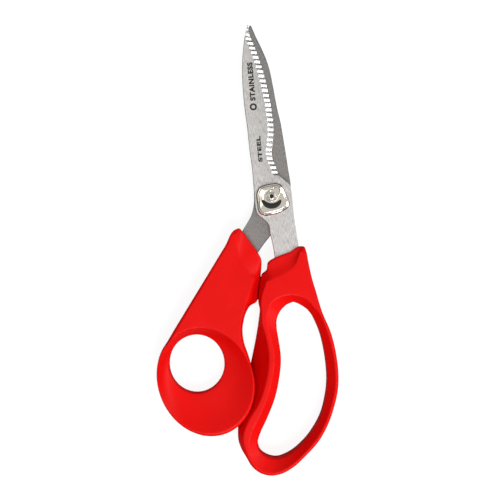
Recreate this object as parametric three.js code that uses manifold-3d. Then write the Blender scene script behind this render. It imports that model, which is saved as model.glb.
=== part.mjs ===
// Poultry shears: two pressed steel blades with moulded handles, joined by one pivot bolt.
// Millimetres. The pivot axis is Z, the blades point along +Y, and the shears lie flat and closed.
// The origin is the centre of the pivot bolt's flat back face.
import * as THREE from 'three';
import { mergeVertices } from 'three/addons/utils/BufferGeometryUtils.js';
import Module from 'manifold-3d';

const wasm = await Module();
wasm.setup();

// ---------------------------------------------------------------- driving dimensions

// Blades
const BLADE_REACH = 82.3;
const BLADE_THICKNESS = 2.6;
const SERRATION_PITCH = 2.35;
const SERRATION_DEPTH = 0.45;
const GRIND_WIDTH = 2.9;
const EDGE_LAND = 0.9;

// Tangs: the tails of the blades that the handles are moulded around
const TANG_WIDTH = 12.3;
const TANG_ROOT = 20;
const FRONT_TANG_ANGLE = 8.5;
const FRONT_TANG_OFFSET = 3.1;
const FRONT_TANG_LENGTH = 43;
const REAR_TANG_ANGLE = -30.5;
const REAR_TANG_OFFSET = 2.5;
const REAR_TANG_LENGTH = 56;
const TANG_CORNER = 3;
const LOCK_HOLE_DIAMETER = 4.6;
const LOCK_HOLE_SPACING = 6.4;
const FRONT_LOCK_HOLE_FROM_END = 5;
const REAR_LOCK_HOLES_FROM_END = [7, 19];

// Pivot stack, from the back to the front
const BOLT_HEAD_DIAMETER = 11.5;
const BOLT_HEAD_THICKNESS = 1.6;
const BOLT_HEAD_EDGE = 0.5;
const BOLT_SQUARE = 6.2;
const BOLT_SHAFT_DIAMETER = 6;
const BOLT_END_DIAMETER = 3.4;
const SOCKET_ACROSS_FLATS = 1.8;
const SOCKET_DEPTH = 1.2;
const FRICTION_WASHER_DIAMETER = 14;
const FRICTION_WASHER_THICKNESS = 0.3;
const SPRING_WASHER_DIAMETER = 8.6;
const SPRING_WASHER_THICKNESS = 0.4;
const NUT_ACROSS_FLATS = 7;
const NUT_THICKNESS = 1.2;
const CAP_WALL = 0.7;
const CAP_LIFT = 0.2;
const CAP_BEVEL = 0.6;
const CAP_PEG_DIAMETER = 1.6;
const CAP_PEG_LENGTH = 1.4;
const CAP_PEG_PLACES = [[5, -4.6], [-4.2, -6.4]];
const INLAY_RADIUS = 5.5;
const INLAY_WIDTH = 2;
const INLAY_DEPTH = 0.35;
const INLAY_END_ANGLE = 20;

// Handles
const HANDLE_DEPTH = 15;
const HANDLE_EDGE = 1.4;
const THUMB_HOLE_WIDTH = 26.6;
const THUMB_HOLE_LENGTH = 28;
const THUMB_HOLE_CENTRE = [-35.9, -80.4];
const THUMB_CREST_WIDTH = 44;
const THUMB_CREST_LENGTH = 48.5;
const THUMB_CREST_CENTRE = [-31.7, -88.6];
const THUMB_DISH_DEPTH = 6.5;
const FINGER_CHAMFER_WIDTH = 3.2;
const FINGER_CHAMFER_DEPTH = 3.5;
const STOP_STEP_DEPTH = 6.5;
const WALL_LEAN = 0.62;
const THUMB_FACET_SLOPE = 0.9;
const FINGER_FACET_SLOPE = 0.3;

// Clearances
const RUNNING_GAP = 0.05;
const SEAT_GAP = 0.02;
const MOULD_GAP = 0.05;
const STOP_GAP = 0.4;
const NEST_GAP = 0.5;
const CAP_GAP = 0.25;

// Smoothness
const CURVE_STEPS = 4;
const SCALLOP_STEPS = 4;
const BLADE_CURVE_STEPS = 2;
const LOOP_CURVE_STEPS = 3;
const HANDLE_EDGE_STEPS = 2;
const CAP_EDGE_STEPS = 3;
const ROUND_STEPS = 40;
const HEXAGON_SIDES = 6;
const MERGE_DISTANCE = 1e-5;
const TURN = 2 * Math.PI;
const THROUGH = 60;

// ---------------------------------------------------------------- heights of the stack

const REAR_BLADE_Z = BOLT_HEAD_THICKNESS;
const FRICTION_WASHER_Z = REAR_BLADE_Z + BLADE_THICKNESS;
const FRONT_BLADE_Z = FRICTION_WASHER_Z + FRICTION_WASHER_THICKNESS + RUNNING_GAP;
const SPRING_WASHER_Z = FRONT_BLADE_Z + BLADE_THICKNESS;
const NUT_Z = SPRING_WASHER_Z + SPRING_WASHER_THICKNESS + RUNNING_GAP;
const CAP_Z = SPRING_WASHER_Z;
const CAP_HEIGHT = NUT_Z + NUT_THICKNESS + CAP_LIFT + CAP_WALL - CAP_Z;
const HANDLE_MID_Z = (REAR_BLADE_Z + SPRING_WASHER_Z) / 2;
const HANDLE_Z = HANDLE_MID_Z - HANDLE_DEPTH / 2;
const HANDLE_TOP_Z = HANDLE_Z + HANDLE_DEPTH;

// ---------------------------------------------------------------- outlines in plan

// A blade's side: [share of the reach, distance right of the pivot axis], from heel to tip.
const FRONT_EDGE = [
  [0.12, 3.9], [0.174, 2.3], [0.212, 0.9], [0.259, 0.35], [0.311, 0.8], [0.376, 1.2], [0.428, 1.05],
  [0.495, 0.35], [0.58, -0.85], [0.661, -2.4], [0.731, -3.9], [0.801, -5.8], [0.871, -7.9],
  [0.931, -9.9], [0.99, -11.3],
];
const FRONT_SPINE = [
  [0.031, -8.4], [0.16, -9.3], [0.259, -10.4], [0.416, -11.8], [0.504, -12.8], [0.62, -13.7],
  [0.714, -14.1], [0.79, -14], [0.879, -13.4], [0.95, -12.6], [1, -11.6],
];
const REAR_SPINE = [
  [0.061, 9.3], [0.16, 8.1], [0.329, 5.9], [0.428, 4.5], [0.504, 3], [0.65, 0.7], [0.723, -0.5],
  [0.797, -2.3], [0.868, -4.8], [0.938, -7.6], [1, -9.9],
];
const REAR_EDGE = [
  [0.13, -5.2], [0.25, -6], [0.45, -7.9], [0.65, -10.4], [0.8, -11.8], [0.93, -11.9], [0.985, -10.7],
];

const FRONT_SHOULDER = [[10.4, -2.2], [9.5, 2.8], [9.1, 5], [6.4, 7.4]];
const FRONT_BOSS = [
  [-8.1, -0.8], [-7.7, -5.6], [-6.8, -8.5], [-4, -10.7], [-2.2, -12.3], [-1.2, -14.1], [-0.6, -17.7],
];
const REAR_SHOULDER = [[-0.6, -18.1], [3.4, -13.6], [7.2, -7.2], [9, -1]];
const REAR_BOSS = [[-7.6, 6.6], [-8.4, 2], [-8.3, -1.5], [-8.6, -4.6], [-9.8, -9.2], [-11.7, -12.8]];

const CAP_OUTLINE = [
  [-0.9, 6.1], [2.5, 6.4], [4.7, 5.4], [6.1, 3.4], [7.6, -0.3], [8.7, -3.7], [7.9, -5.6], [6, -7],
  [3, -8.3], [-0.3, -9.1], [-2.8, -9.4], [-4.9, -8.8], [-6.4, -7], [-6.9, -3.9], [-7.1, 2.1],
  [-6.1, 4.1], [-4, 5.3],
];

// Where the closed handles rest on each other, from top to bottom.
const STOP_LINE = [[-4.9, -37.3], [-7, -50.6]];

const THUMB_COLLAR = [[-4.9, -30.2], [-6.3, -27.3], [-13.7, -17.1], [-15.8, -15.2], [-17.4, -15.9]];
// The line where the sloping facet behind the collar meets the handle's top face.
const THUMB_FACET_LINE = [[-16.2, -16], [-7, -39.5]];
const THUMB_DISC = [
  [-44.4, -60.3], [-50.2, -70.4], [-54, -78.2], [-55, -84.3], [-54.2, -91.8], [-51.4, -99.2],
  [-44.4, -107.8], [-36.7, -112.6], [-28.1, -114.5], [-22.3, -113.6], [-16.1, -110.7], [-11.8, -104.9],
  [-8.9, -95.3], [-8.1, -88.6], [-9.8, -79.5], [-13.2, -70.4], [-13.8, -63.5], [-12.3, -56], [-10.3, -52.6],
];
const THUMB_RIDGE = [
  [-5.1, -35.2], [-8.4, -39.2], [-10.3, -45.4], [-11.9, -51.2], [-14.3, -59.3], [-14.7, -64],
];

const FINGER_COLLAR = [
  [15.1, -23.6], [13.4, -23.8], [9.1, -26.4], [1.2, -29.4], [-1.2, -31.6], [-2, -33.8], [-3.4, -36],
];
const FINGER_FACET_LINE = [[-4, -41.5], [14.5, -29.5]];
const FINGER_LEFT = [
  [-5.6, -53.9], [-6, -58.7], [-7.4, -67.8], [-9.4, -78], [-11.9, -89], [-14.4, -100], [-16.1, -111],
];
const FINGER_LOOP = [
  [-15.8, -116.9], [-14.4, -120.8], [-12, -124.6], [-9.4, -128.9], [-5.5, -132], [-0.7, -133.3],
  [4.6, -132.5], [10.3, -129.4], [16.1, -124.1], [22.8, -116.5], [26.6, -109.7], [30, -100.1],
  [31.7, -92], [31.9, -84.3], [31.3, -78.3], [28.3, -65.1], [24, -54.8], [19.4, -39.5], [16.4, -26],
];
const FINGER_HOLE = [
  [10.4, -50.7], [5.6, -53.4], [2.4, -58.6], [3.6, -69.9], [4.5, -78.5], [4, -85.6], [2.2, -94.9],
  [-0.7, -103.5], [-5, -112.6], [-6.5, -117.4], [-6, -120.8], [-3.6, -123.7], [0.2, -125.3],
  [4.6, -125.1], [10.3, -122.2], [16.1, -116.9], [20.9, -110.2], [24.7, -101.6], [26.4, -92.9],
  [26.6, -84.8], [25.7, -76.1], [24.2, -68.9], [22.2, -62.7], [19.6, -57.4], [15.6, -53],
];
const WALL_TOP = [
  [-5.5, -56], [-3.4, -64.8], [-1.8, -70.9], [-1.2, -78.5], [-2.2, -87.2], [-5, -96.8],
  [-8.9, -103.5], [-12.7, -109.7], [-17, -113.5],
];

// ---------------------------------------------------------------- solids and meshes

// Shared corners are merged, and the flat triangles that this leaves at a lathe's poles are dropped.
function solidOf(geometry) {
  const bare = geometry.clone();
  bare.deleteAttribute('normal');
  bare.deleteAttribute('uv');
  const merged = mergeVertices(bare, MERGE_DISTANCE);
  const corners = merged.index.array;
  const kept = [];
  for (let i = 0; i < corners.length; i += 3) {
    const [a, b, c] = [corners[i], corners[i + 1], corners[i + 2]];
    if (a !== b && b !== c && c !== a) {
      kept.push(a, b, c);
    }
  }
  return new wasm.Manifold(new wasm.Mesh({
    numProp: 3,
    vertProperties: new Float32Array(merged.attributes.position.array),
    triVerts: new Uint32Array(kept),
  }));
}

function geometryOf(solid) {
  const mesh = solid.getMesh();
  const geometry = new THREE.BufferGeometry();
  geometry.setAttribute('position', new THREE.BufferAttribute(new Float32Array(mesh.vertProperties), 3));
  geometry.setIndex(new THREE.BufferAttribute(new Uint32Array(mesh.triVerts), 1));
  geometry.computeVertexNormals();
  return geometry;
}

function points(list) {
  return list.map(([x, y]) => new THREE.Vector2(x, y));
}

function smooth(list, steps = CURVE_STEPS) {
  const curve = new THREE.SplineCurve(points(list));
  return curve.getPoints(steps * (list.length - 1));
}

function closedShape(list) {
  const looped = new THREE.CatmullRomCurve3(
    list.map(([x, y]) => new THREE.Vector3(x, y, 0)), true, 'centripetal');
  const ring = looped.getPoints(list.length * CURVE_STEPS).slice(0, -1);
  return new THREE.Shape(ring.map((point) => new THREE.Vector2(point.x, point.y)));
}

function circle(radius, [x, y] = [0, 0], steps = ROUND_STEPS) {
  const ring = [];
  for (let i = 0; i < steps; i += 1) {
    const angle = (TURN * i) / steps;
    ring.push(new THREE.Vector2(x + radius * Math.cos(angle), y + radius * Math.sin(angle)));
  }
  return new THREE.Shape(ring);
}

function prism(shape, bottom, top) {
  const geometry = new THREE.ExtrudeGeometry(shape, { depth: top - bottom, bevelEnabled: false });
  return solidOf(geometry.translate(0, 0, bottom));
}

// A prism whose top and bottom edges are rounded, inside the outline of the shape.
function roundedPrism(shape, bottom, top, edge, steps) {
  const geometry = new THREE.ExtrudeGeometry(shape, {
    depth: top - bottom - 2 * edge,
    bevelEnabled: true,
    bevelThickness: edge,
    bevelSize: edge,
    bevelOffset: -edge,
    bevelSegments: steps,
  });
  return solidOf(geometry.translate(0, 0, bottom + edge));
}

// ---------------------------------------------------------------- tangs

function tangPoint(angle, offset, along, side) {
  const turn = THREE.MathUtils.degToRad(angle);
  const direction = new THREE.Vector2(Math.sin(turn), -Math.cos(turn));
  const sideways = new THREE.Vector2(Math.cos(turn), Math.sin(turn));
  return direction.multiplyScalar(along).add(sideways.multiplyScalar(offset + side));
}

// The tang's straight sides and cut corners, from its left root round to its right root.
function tangSides(angle, offset, length, gap = 0) {
  const half = TANG_WIDTH / 2 + gap;
  const tail = length + gap;
  return [
    tangPoint(angle, offset, TANG_ROOT, -half),
    tangPoint(angle, offset, tail - TANG_CORNER, -half),
    tangPoint(angle, offset, tail, -half + TANG_CORNER),
    tangPoint(angle, offset, tail, half - TANG_CORNER),
    tangPoint(angle, offset, tail - TANG_CORNER, half),
    tangPoint(angle, offset, TANG_ROOT, half),
  ];
}

function tangPocket(angle, offset, length, bladeZ, places) {
  const outline = new THREE.Shape(tangSides(angle, offset, length, MOULD_GAP));
  const bottom = bladeZ - MOULD_GAP;
  const top = bladeZ + BLADE_THICKNESS + MOULD_GAP;
  let pocket = prism(outline, bottom, top);
  for (const place of places) {
    pocket = pocket.subtract(prism(circle(LOCK_HOLE_DIAMETER / 2 - MOULD_GAP, place.toArray()), bottom, top));
  }
  return pocket;
}

const FRONT_LOCK_PLACES = [-1, 1].map((side) => tangPoint(
  FRONT_TANG_ANGLE, FRONT_TANG_OFFSET, FRONT_TANG_LENGTH - FRONT_LOCK_HOLE_FROM_END,
  (side * LOCK_HOLE_SPACING) / 2));
const REAR_LOCK_PLACES = REAR_LOCK_HOLES_FROM_END.map((fromEnd) => tangPoint(
  REAR_TANG_ANGLE, REAR_TANG_OFFSET, REAR_TANG_LENGTH - fromEnd, 0));

// ---------------------------------------------------------------- blades

function bladeSide(stations) {
  return stations.map(([share, x]) => [x, share * BLADE_REACH]);
}

// The serrated edge: equal shallow arcs cut to the left of a curve that runs up to the tip.
function scalloped(curve) {
  const count = Math.round(curve.getLength() / SERRATION_PITCH) * SCALLOP_STEPS;
  const edge = [];
  for (let i = 0; i <= count; i += 1) {
    const phase = (i % SCALLOP_STEPS) / SCALLOP_STEPS;
    const cut = 4 * SERRATION_DEPTH * phase * (1 - phase);
    const point = curve.getPointAt(i / count);
    const tangent = curve.getTangentAt(i / count);
    edge.push(new THREE.Vector2(point.x - tangent.y * cut, point.y + tangent.x * cut));
  }
  return edge;
}

// A three-sided bar swept along an edge, which leaves a ground bevel when it is cut away.
// inward is 1 where the blade lies left of the edge and -1 where it lies right of it; the bevel is
// on the upper face when up is 1 and on the lower face when up is -1.
function grindCutter(stations, inward, faceZ, up) {
  const side = bladeSide(stations);
  const [[x1, y1], [x2, y2]] = side.slice(-2);
  const beyondTip = [x2 + (x2 - x1), y2 + (y2 - y1)];
  const path = new THREE.CatmullRomCurve3(
    [...side, beyondTip].map(([x, y]) => new THREE.Vector3(x, y, faceZ)));
  const depth = BLADE_THICKNESS - EDGE_LAND;
  const overhang = SERRATION_PITCH;
  const drop = (depth * (GRIND_WIDTH + overhang)) / GRIND_WIDTH;
  const section = new THREE.Shape(points([
    [0, inward * GRIND_WIDTH],
    [up * drop, -inward * overhang],
    [-up * overhang, -inward * overhang],
  ]));
  const steps = stations.length * BLADE_CURVE_STEPS;
  return solidOf(new THREE.ExtrudeGeometry(section, { steps, bevelEnabled: false, extrudePath: path }));
}

function frontBlade() {
  const edge = scalloped(new THREE.SplineCurve(points(bladeSide(FRONT_EDGE))));
  const outline = [
    ...points(FRONT_SHOULDER),
    ...edge,
    ...smooth(bladeSide(FRONT_SPINE), BLADE_CURVE_STEPS).reverse(),
    ...points(FRONT_BOSS),
    ...tangSides(FRONT_TANG_ANGLE, FRONT_TANG_OFFSET, FRONT_TANG_LENGTH),
  ];
  let blade = prism(new THREE.Shape(outline), 0, BLADE_THICKNESS);
  blade = blade.subtract(grindCutter(FRONT_EDGE, 1, BLADE_THICKNESS, 1));
  const bore = circle(BOLT_SHAFT_DIAMETER / 2 + RUNNING_GAP);
  blade = blade.subtract(prism(bore, -THROUGH, THROUGH));
  for (const place of CAP_PEG_PLACES) {
    const hole = circle(CAP_PEG_DIAMETER / 2 + SEAT_GAP, place, ROUND_STEPS / 2);
    blade = blade.subtract(prism(hole, -THROUGH, THROUGH));
  }
  for (const place of FRONT_LOCK_PLACES) {
    blade = blade.subtract(prism(circle(LOCK_HOLE_DIAMETER / 2, place.toArray()), -THROUGH, THROUGH));
  }
  return blade;
}

function rearBlade() {
  const outline = [
    ...points(REAR_SHOULDER),
    ...smooth(bladeSide(REAR_SPINE), BLADE_CURVE_STEPS),
    ...smooth(bladeSide(REAR_EDGE), BLADE_CURVE_STEPS).reverse(),
    ...points(REAR_BOSS),
    ...tangSides(REAR_TANG_ANGLE, REAR_TANG_OFFSET, REAR_TANG_LENGTH),
  ];
  let blade = prism(new THREE.Shape(outline), 0, BLADE_THICKNESS);
  blade = blade.subtract(grindCutter(REAR_EDGE, -1, 0, -1));
  blade = blade.subtract(prism(square(BOLT_SQUARE + 2 * SEAT_GAP), -THROUGH, THROUGH));
  for (const place of REAR_LOCK_PLACES) {
    blade = blade.subtract(prism(circle(LOCK_HOLE_DIAMETER / 2, place.toArray()), -THROUGH, THROUGH));
  }
  return blade;
}

// ---------------------------------------------------------------- pivot stack

// A lathe turns its profile about Y; this stands the turned shape up along Z.
function turned(profile) {
  return solidOf(new THREE.LatheGeometry(points(profile), ROUND_STEPS).rotateX(Math.PI / 2));
}

function washer(outerDiameter, boreDiameter, thickness) {
  const outer = outerDiameter / 2;
  const bore = boreDiameter / 2;
  return turned([[bore, 0], [outer, 0], [outer, thickness], [bore, thickness], [bore, 0]]);
}

function hexagon(acrossFlats) {
  return circle(acrossFlats / 2 / Math.cos(TURN / 2 / HEXAGON_SIDES), [0, 0], HEXAGON_SIDES);
}

function square(width) {
  const half = width / 2;
  return new THREE.Shape(points([[-half, -half], [half, -half], [half, half], [-half, half]]));
}

function pivotBolt() {
  const head = BOLT_HEAD_DIAMETER / 2;
  const shaft = BOLT_SHAFT_DIAMETER / 2;
  const end = BOLT_END_DIAMETER / 2;
  const top = CAP_Z + CAP_HEIGHT;
  const bolt = turned([
    [0, 0],
    [head - BOLT_HEAD_EDGE, 0],
    [head, BOLT_HEAD_EDGE],
    [head, BOLT_HEAD_THICKNESS],
    [shaft, BOLT_HEAD_THICKNESS],
    [shaft, SPRING_WASHER_Z],
    [end, SPRING_WASHER_Z],
    [end, top],
    [0, top],
  ]);
  const neck = prism(square(BOLT_SQUARE), BOLT_HEAD_THICKNESS / 2, FRICTION_WASHER_Z - SEAT_GAP);
  const socket = prism(hexagon(SOCKET_ACROSS_FLATS), top - SOCKET_DEPTH, top + THROUGH);
  return bolt.add(neck).subtract(socket);
}

function pivotNut() {
  const bore = circle(BOLT_END_DIAMETER / 2 + RUNNING_GAP);
  return prism(hexagon(NUT_ACROSS_FLATS), 0, NUT_THICKNESS).subtract(prism(bore, -THROUGH, THROUGH));
}

function crescent(gap) {
  const outer = INLAY_RADIUS + gap;
  const inner = INLAY_RADIUS - INLAY_WIDTH - gap;
  const trim = THREE.MathUtils.degToRad(INLAY_END_ANGLE) - gap / INLAY_RADIUS;
  const shape = new THREE.Shape();
  shape.absarc(0, 0, outer, Math.PI + trim, TURN - trim, false);
  shape.absarc(0, 0, inner, TURN - trim, Math.PI + trim, true);
  return shape;
}

function pivotCap() {
  let cap = roundedPrism(closedShape(CAP_OUTLINE), -CAP_BEVEL, CAP_HEIGHT, CAP_BEVEL, CAP_EDGE_STEPS);
  cap = cap.subtract(prism(square(THROUGH), -THROUGH, 0));
  const nutRadius = NUT_ACROSS_FLATS / 2 / Math.cos(TURN / 2 / HEXAGON_SIDES);
  const nutRoom = Math.max(nutRadius, SPRING_WASHER_DIAMETER / 2) + CAP_GAP;
  cap = cap.subtract(prism(circle(nutRoom), -THROUGH, CAP_HEIGHT - CAP_WALL));
  cap = cap.subtract(prism(circle(BOLT_END_DIAMETER / 2 + CAP_GAP), -THROUGH, THROUGH));
  for (const place of CAP_PEG_PLACES) {
    const peg = circle(CAP_PEG_DIAMETER / 2, place, ROUND_STEPS / 2);
    cap = cap.add(prism(peg, -CAP_PEG_LENGTH, CAP_BEVEL));
  }
  return cap.subtract(prism(crescent(SEAT_GAP), CAP_HEIGHT - INLAY_DEPTH - SEAT_GAP, THROUGH));
}

// ---------------------------------------------------------------- handles

// A large block that cuts away all that lies above a sloping plane. The plane holds the line from
// one plan point to the next at height z, and falls to the left of that line.
function slopeCutter([[x0, y0], [x1, y1]], z, slope) {
  const block = new THREE.BoxGeometry(2 * THROUGH, 2 * THROUGH, THROUGH);
  block.translate(0, 0, THROUGH / 2);
  block.rotateX(-Math.atan(slope));
  block.rotateZ(Math.atan2(y1 - y0, x1 - x0));
  block.translate((x0 + x1) / 2, (y0 + y1) / 2, z);
  return solidOf(block);
}

function shifted(list, dx) {
  return list.map(([x, y]) => [x + dx, y]);
}

// The dish around the thumb hole: a leaning cone with an oval mouth on the handle's top face.
function thumbDish() {
  const footRatio = THUMB_HOLE_WIDTH / THUMB_CREST_WIDTH;
  const cone = new THREE.CylinderGeometry(
    2 - footRatio, footRatio, 2 * THUMB_DISH_DEPTH, 2 * ROUND_STEPS);
  cone.rotateX(Math.PI / 2);
  cone.scale(THUMB_CREST_WIDTH / 2, THUMB_CREST_LENGTH / 2, 1);
  const leanX = (THUMB_CREST_CENTRE[0] - THUMB_HOLE_CENTRE[0]) / THUMB_DISH_DEPTH;
  const leanY = (THUMB_CREST_CENTRE[1] - THUMB_HOLE_CENTRE[1]) / THUMB_DISH_DEPTH;
  cone.applyMatrix4(new THREE.Matrix4().makeShear(0, 0, 0, 0, leanX, leanY));
  cone.translate(THUMB_CREST_CENTRE[0], THUMB_CREST_CENTRE[1], HANDLE_TOP_Z);
  return solidOf(cone);
}

function thumbHole() {
  const [x, y] = THUMB_HOLE_CENTRE;
  const ring = new THREE.Shape();
  ring.absellipse(x, y, THUMB_HOLE_WIDTH / 2, THUMB_HOLE_LENGTH / 2, 0, TURN);
  return prism(new THREE.Shape(ring.getPoints(ROUND_STEPS).slice(0, -1)), -THROUGH, THROUGH);
}

// The finger handle's outline; gap moves its lower left side out, towards the thumb disc.
function fingerOutline(gap) {
  return new THREE.Shape([
    ...points(FINGER_COLLAR),
    ...points(shifted(STOP_LINE, STOP_GAP / 2)),
    ...smooth(shifted(FINGER_LEFT, -gap), BLADE_CURVE_STEPS),
    ...smooth(FINGER_LOOP, LOOP_CURVE_STEPS),
  ]);
}

function thumbOutline() {
  return new THREE.Shape([
    ...points(THUMB_COLLAR),
    ...smooth(THUMB_DISC, LOOP_CURVE_STEPS),
    ...points(shifted([...STOP_LINE].reverse(), -STOP_GAP / 2)),
  ]);
}

// The low web beside the ridge, whose side meets the finger handle when the shears close.
function thumbStopStep() {
  const [top, bottom] = [THUMB_RIDGE[0], THUMB_RIDGE[THUMB_RIDGE.length - 1]];
  const outline = new THREE.Shape([
    ...smooth(THUMB_RIDGE, BLADE_CURVE_STEPS),
    new THREE.Vector2(THROUGH, bottom[1]),
    new THREE.Vector2(THROUGH, top[1]),
  ]);
  return prism(outline, HANDLE_TOP_Z - STOP_STEP_DEPTH, THROUGH);
}

function thumbHandle() {
  let handle = roundedPrism(thumbOutline(), HANDLE_Z, HANDLE_TOP_Z, HANDLE_EDGE, HANDLE_EDGE_STEPS);
  handle = handle.subtract(thumbHole());
  handle = handle.subtract(thumbDish());
  handle = handle.subtract(thumbStopStep());
  handle = handle.subtract(slopeCutter(THUMB_FACET_LINE, HANDLE_TOP_Z, THUMB_FACET_SLOPE));
  const nest = prism(fingerOutline(NEST_GAP), -THROUGH, HANDLE_TOP_Z + HANDLE_EDGE);
  handle = handle.subtract(nest.subtract(leaningWallCutter(NEST_GAP)));
  return handle.subtract(tangPocket(
    REAR_TANG_ANGLE, REAR_TANG_OFFSET, REAR_TANG_LENGTH, REAR_BLADE_Z, REAR_LOCK_PLACES));
}

// The finger hole widens towards the top face, where its mouth is one chamfer width larger.
function fingerHole() {
  const hole = closedShape(FINGER_HOLE);
  const mouth = new THREE.ExtrudeGeometry(hole, {
    depth: THROUGH,
    bevelEnabled: true,
    bevelThickness: FINGER_CHAMFER_DEPTH,
    bevelSize: FINGER_CHAMFER_WIDTH,
    bevelSegments: 1,
  });
  return prism(hole, -THROUGH, THROUGH).add(solidOf(mouth.translate(0, 0, HANDLE_TOP_Z)));
}

// All that lies left of the loop's lower left side. That side leans outwards from a line on the
// top face, so it reaches under the thumb disc; gap moves it towards the disc.
function leaningWallCutter(gap) {
  const line = shifted(WALL_TOP, -gap);
  const [top, bottom] = [line[0], line[line.length - 1]];
  const shape = new THREE.Shape([
    ...smooth(line, BLADE_CURVE_STEPS),
    new THREE.Vector2(-THROUGH, bottom[1]),
    new THREE.Vector2(-THROUGH, top[1] + FINGER_CHAMFER_WIDTH),
    new THREE.Vector2(top[0] - STOP_GAP, top[1] + FINGER_CHAMFER_WIDTH),
  ]);
  const depth = HANDLE_DEPTH + 2 * HANDLE_EDGE;
  const block = new THREE.ExtrudeGeometry(shape, { depth, bevelEnabled: false });
  block.translate(0, 0, HANDLE_EDGE - depth);
  block.applyMatrix4(new THREE.Matrix4().makeShear(0, 0, 0, 0, WALL_LEAN, 0));
  return solidOf(block.translate(0, 0, HANDLE_TOP_Z));
}

function fingerHandle() {
  let handle = roundedPrism(fingerOutline(0), HANDLE_Z, HANDLE_TOP_Z, HANDLE_EDGE, HANDLE_EDGE_STEPS);
  handle = handle.subtract(fingerHole());
  handle = handle.subtract(leaningWallCutter(0));
  handle = handle.subtract(slopeCutter(FINGER_FACET_LINE, HANDLE_TOP_Z, FINGER_FACET_SLOPE));
  return handle.subtract(tangPocket(
    FRONT_TANG_ANGLE, FRONT_TANG_OFFSET, FRONT_TANG_LENGTH, FRONT_BLADE_Z, FRONT_LOCK_PLACES));
}

// ---------------------------------------------------------------- assembly

function finish(color, roughness, metalness) {
  return new THREE.MeshStandardMaterial({ color, roughness, metalness });
}

const brightSteel = finish(0xc8c6c6, 0.35, 1);
const darkSteel = finish(0x8f8c8b, 0.5, 1);
const chrome = finish(0xe8e6e2, 0.08, 1);
const zincSteel = finish(0xb4b4b0, 0.4, 1);
const nylon = finish(0xe6e2d8, 0.5, 0);
const redPlastic = finish(0xdb1618, 0.4, 0);
const blackEnamel = finish(0x101010, 0.35, 0);

function piece(name, solid, material, z = 0) {
  const mesh = new THREE.Mesh(geometryOf(solid), material);
  mesh.name = name;
  mesh.position.z = z;
  return mesh;
}

// The half that holds the front blade and the finger loop.
const fingerHalf = new THREE.Group();
fingerHalf.add(
  piece('front_blade', frontBlade(), brightSteel, FRONT_BLADE_Z),
  piece('finger_handle', fingerHandle(), redPlastic),
  piece('pivot_cap', pivotCap(), chrome, CAP_Z),
  piece('cap_inlay', prism(crescent(0), 0, INLAY_DEPTH), blackEnamel, CAP_Z + CAP_HEIGHT - INLAY_DEPTH),
  piece(
    'spring_washer',
    washer(SPRING_WASHER_DIAMETER, BOLT_END_DIAMETER + 2 * CAP_GAP, SPRING_WASHER_THICKNESS),
    zincSteel, SPRING_WASHER_Z),
);

// The half that holds the rear blade and the thumb hole. The bolt's square neck turns with it.
const thumbHalf = new THREE.Group();
thumbHalf.add(
  piece('rear_blade', rearBlade(), darkSteel, REAR_BLADE_Z),
  piece('thumb_handle', thumbHandle(), redPlastic),
  piece('pivot_bolt', pivotBolt(), zincSteel),
  piece(
    'friction_washer',
    washer(FRICTION_WASHER_DIAMETER, BOLT_SHAFT_DIAMETER + 2 * RUNNING_GAP, FRICTION_WASHER_THICKNESS),
    nylon, FRICTION_WASHER_Z),
  piece('pivot_nut', pivotNut(), zincSteel, NUT_Z),
);

const shears = new THREE.Group();
shears.add(fingerHalf, thumbHalf);

export default shears;
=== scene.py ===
# %% [markdown]
# # Poultry shears
# Two steel blades cross at one pivot bolt, and each ends in a moulded red handle: a round thumb
# hole on the left and a long finger loop on the right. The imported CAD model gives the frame, the
# moving halves and every size. Here each visible piece gets its real surface. Almost every piece
# is a grid of points worked out with numpy, because the ground bevels, the dished thumb rest and
# the rounded rims are all shapes that a short formula describes better than a box of clicks does.

# %% Load the frame
import math
import bmesh
import bpy
import numpy as np
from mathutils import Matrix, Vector


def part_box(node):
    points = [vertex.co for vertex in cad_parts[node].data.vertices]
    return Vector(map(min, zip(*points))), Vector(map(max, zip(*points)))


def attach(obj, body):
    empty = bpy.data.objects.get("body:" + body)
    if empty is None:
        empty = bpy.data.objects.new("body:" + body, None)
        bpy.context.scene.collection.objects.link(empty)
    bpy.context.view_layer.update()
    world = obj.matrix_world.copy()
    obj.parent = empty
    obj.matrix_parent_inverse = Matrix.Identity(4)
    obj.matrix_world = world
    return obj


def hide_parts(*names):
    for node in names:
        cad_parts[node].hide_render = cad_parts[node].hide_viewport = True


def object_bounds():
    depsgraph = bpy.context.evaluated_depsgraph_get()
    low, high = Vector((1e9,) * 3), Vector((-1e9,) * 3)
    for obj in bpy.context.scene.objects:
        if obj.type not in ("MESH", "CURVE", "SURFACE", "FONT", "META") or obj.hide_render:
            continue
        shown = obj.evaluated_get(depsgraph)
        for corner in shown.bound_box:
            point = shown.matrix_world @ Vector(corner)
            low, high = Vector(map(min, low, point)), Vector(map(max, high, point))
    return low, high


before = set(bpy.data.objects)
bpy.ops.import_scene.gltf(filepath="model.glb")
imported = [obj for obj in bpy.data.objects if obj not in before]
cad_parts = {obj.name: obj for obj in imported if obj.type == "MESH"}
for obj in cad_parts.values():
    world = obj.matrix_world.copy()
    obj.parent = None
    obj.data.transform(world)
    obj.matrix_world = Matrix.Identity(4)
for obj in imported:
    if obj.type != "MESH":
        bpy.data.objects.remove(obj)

cad_low, cad_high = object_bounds()
print("CAD box, mm:", [round(1000 * (b - a), 1) for a, b in zip(cad_low, cad_high)])

# %% [markdown]
# ## Units and a mesh from a grid
# All lengths below are millimetres, because that is how a tool maker thinks of them, and one
# function scales them to Blender's metres at the very end. A surface is an array of shape
# (rows, columns, 3). If both directions close on themselves the grid is a ring, like a
# doughnut, which is just what a handle with a finger hole in it is. The mesh could also be built
# face by face, but whole arrays are faster and leave no gap between two faces.

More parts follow.
